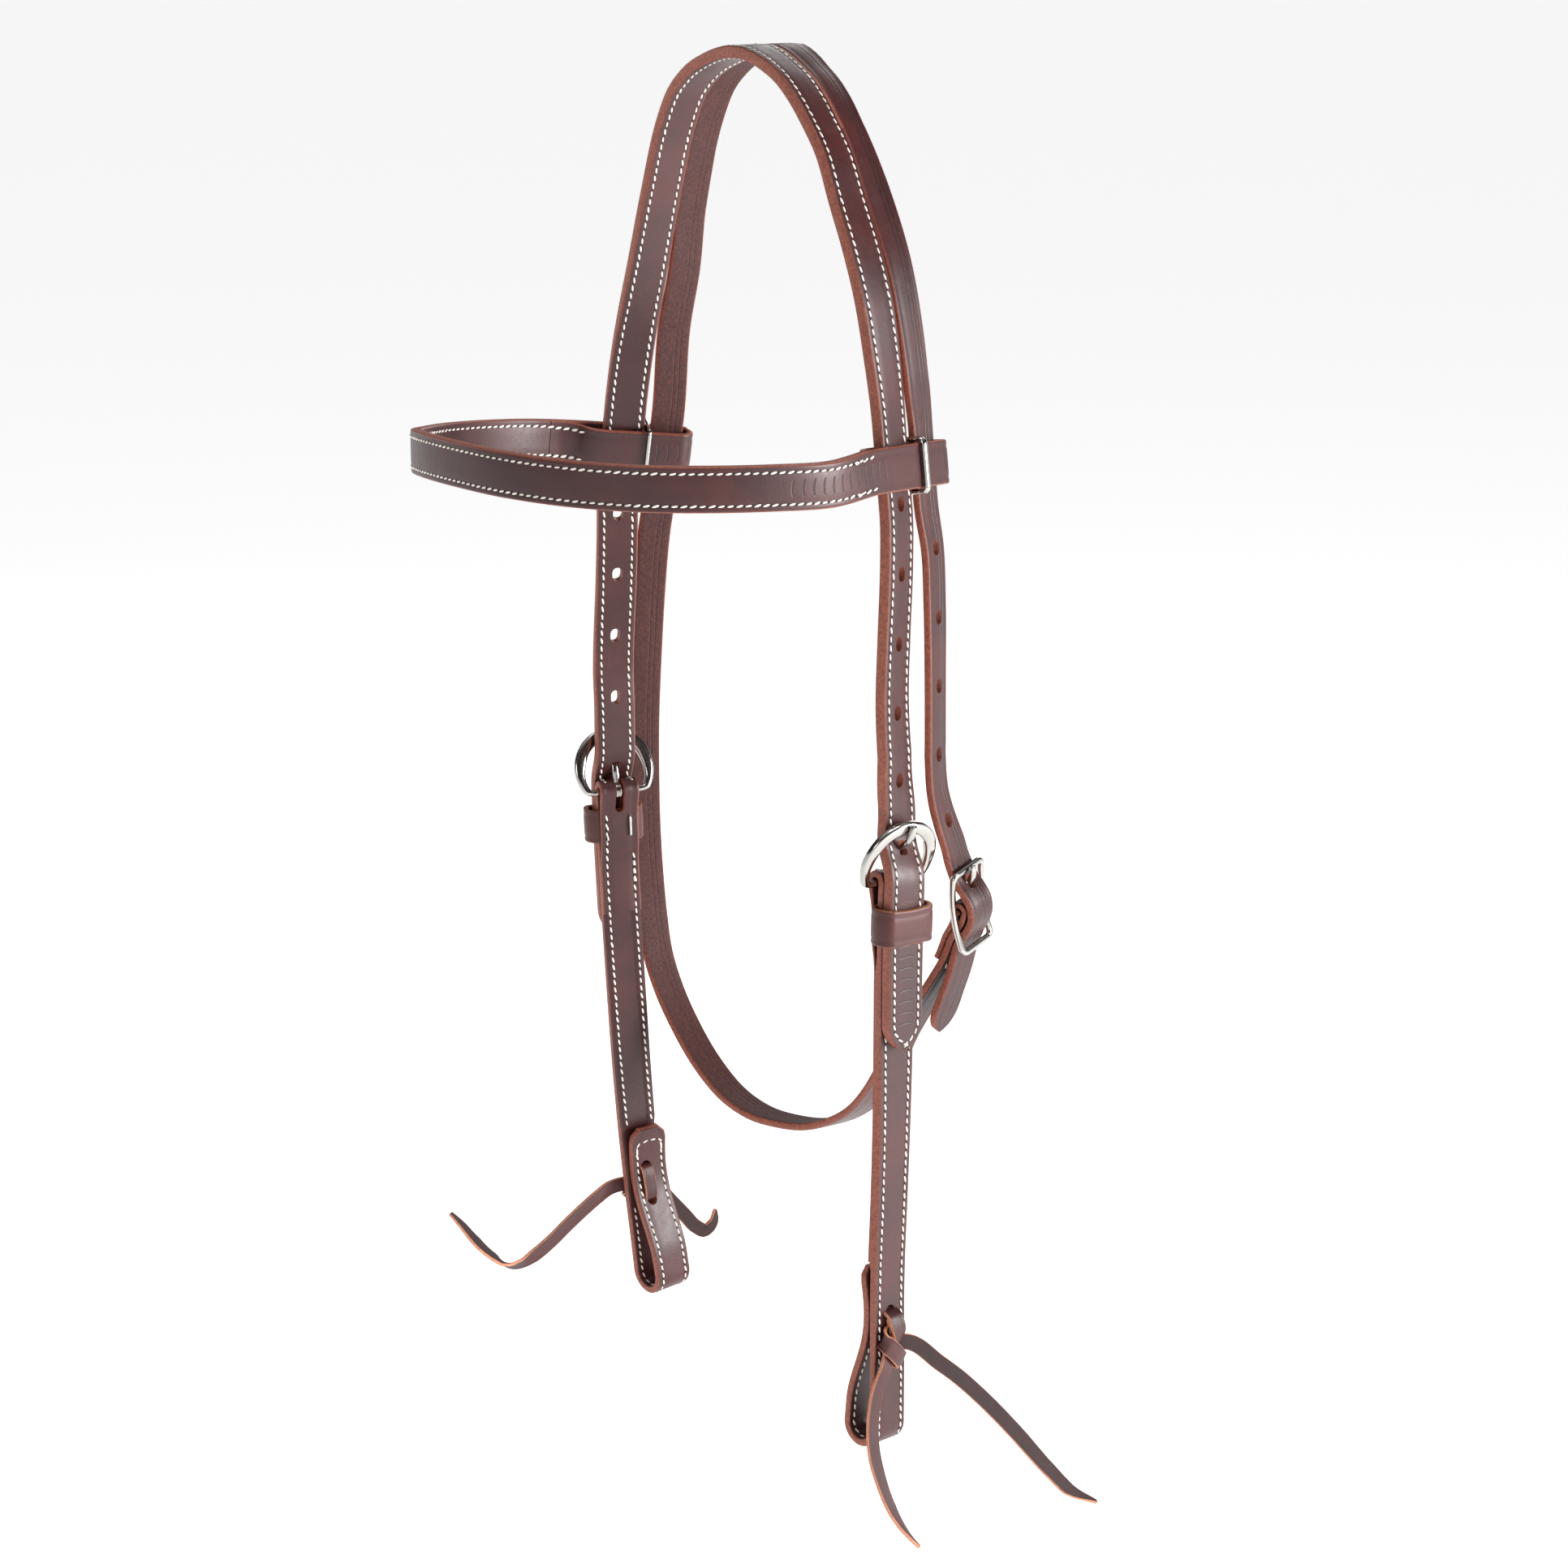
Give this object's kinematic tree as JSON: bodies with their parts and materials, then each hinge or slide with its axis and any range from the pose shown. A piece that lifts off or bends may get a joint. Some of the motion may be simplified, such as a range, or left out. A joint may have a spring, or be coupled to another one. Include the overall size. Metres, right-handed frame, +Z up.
{
  "type": "western headstall",
  "caption": "Western browband headstall in stitched leather: split crown, browband, buckled cheek straps with tied bit loops, and a throat latch, for holding a bit on a horse.",
  "frame": {"origin": "the middle of the crown's underside at the poll, on the front half's lining", "axes": "+Z up, -Y the way the horse faces, +X towards the horse's near (left) side"},
  "size_m": [0.2105, 0.2245, 0.5615],
  "materials": {
    "strap_leather": "burnished dark burgundy strap leather, satin",
    "lining_leather": "thin lining leather, dark burgundy, satin",
    "nickel": "polished nickel plate",
    "staple_steel": "plain steel wire",
    "thong_leather": "soft dark lace leather, waxed"
  },
  "bodies": {
    "straps": {"crown_strap": "strap_leather", "crown_liner": "lining_leather", "near_cheek_strap": "strap_leather", "near_cheek_liner": "lining_leather", "off_cheek_strap": "strap_leather", "off_cheek_liner": "lining_leather", "near_keeper": "strap_leather", "off_keeper": "strap_leather", "near_keeper_staple": "staple_steel", "off_keeper_staple": "staple_steel", "near_cheek_buckle": "nickel", "off_cheek_buckle": "nickel", "throat_buckle": "nickel", "near_tie": "thong_leather", "off_tie": "thong_leather", "near_tie_tail_lower": "thong_leather", "near_tie_tail_rear": "thong_leather", "off_tie_tail_front": "thong_leather", "off_tie_tail_rear": "thong_leather"},
    "browband": {"browband_strap": "strap_leather", "browband_liner": "lining_leather", "near_browband_ring": "nickel", "off_browband_ring": "nickel"},
    "near_tongue": {"near_cheek_tongue": "nickel"},
    "off_tongue": {"off_cheek_tongue": "nickel"},
    "throat_latch_tongue": {"throat_tongue": "nickel"}
  },
  "joints": [
    {"name": "browband_slide", "type": "slide", "parent": "straps", "child": "browband", "axis": [0, 0, 1], "range_m": [-0.003, 0.004]},
    {"name": "near_tongue_swing", "type": "hinge", "parent": "straps", "child": "near_tongue", "pos_m": [0.09111, -0.00138, -0.28949], "axis": [-0.0515, 0.998, -0.0364], "range_deg": [0, 5]},
    {"name": "off_tongue_swing", "type": "hinge", "parent": "straps", "child": "off_tongue", "pos_m": [-0.09125, -0.00268, -0.29303], "axis": [-0.242, -0.9699, -0.0277], "range_deg": [0, 5]},
    {"name": "throat_tongue_swing", "type": "hinge", "parent": "straps", "child": "throat_latch_tongue", "pos_m": [0.09509, 0.03069, -0.30304], "axis": [-0.2648, 0.9359, 0.2323], "range_deg": [0, 5]}
  ]
}
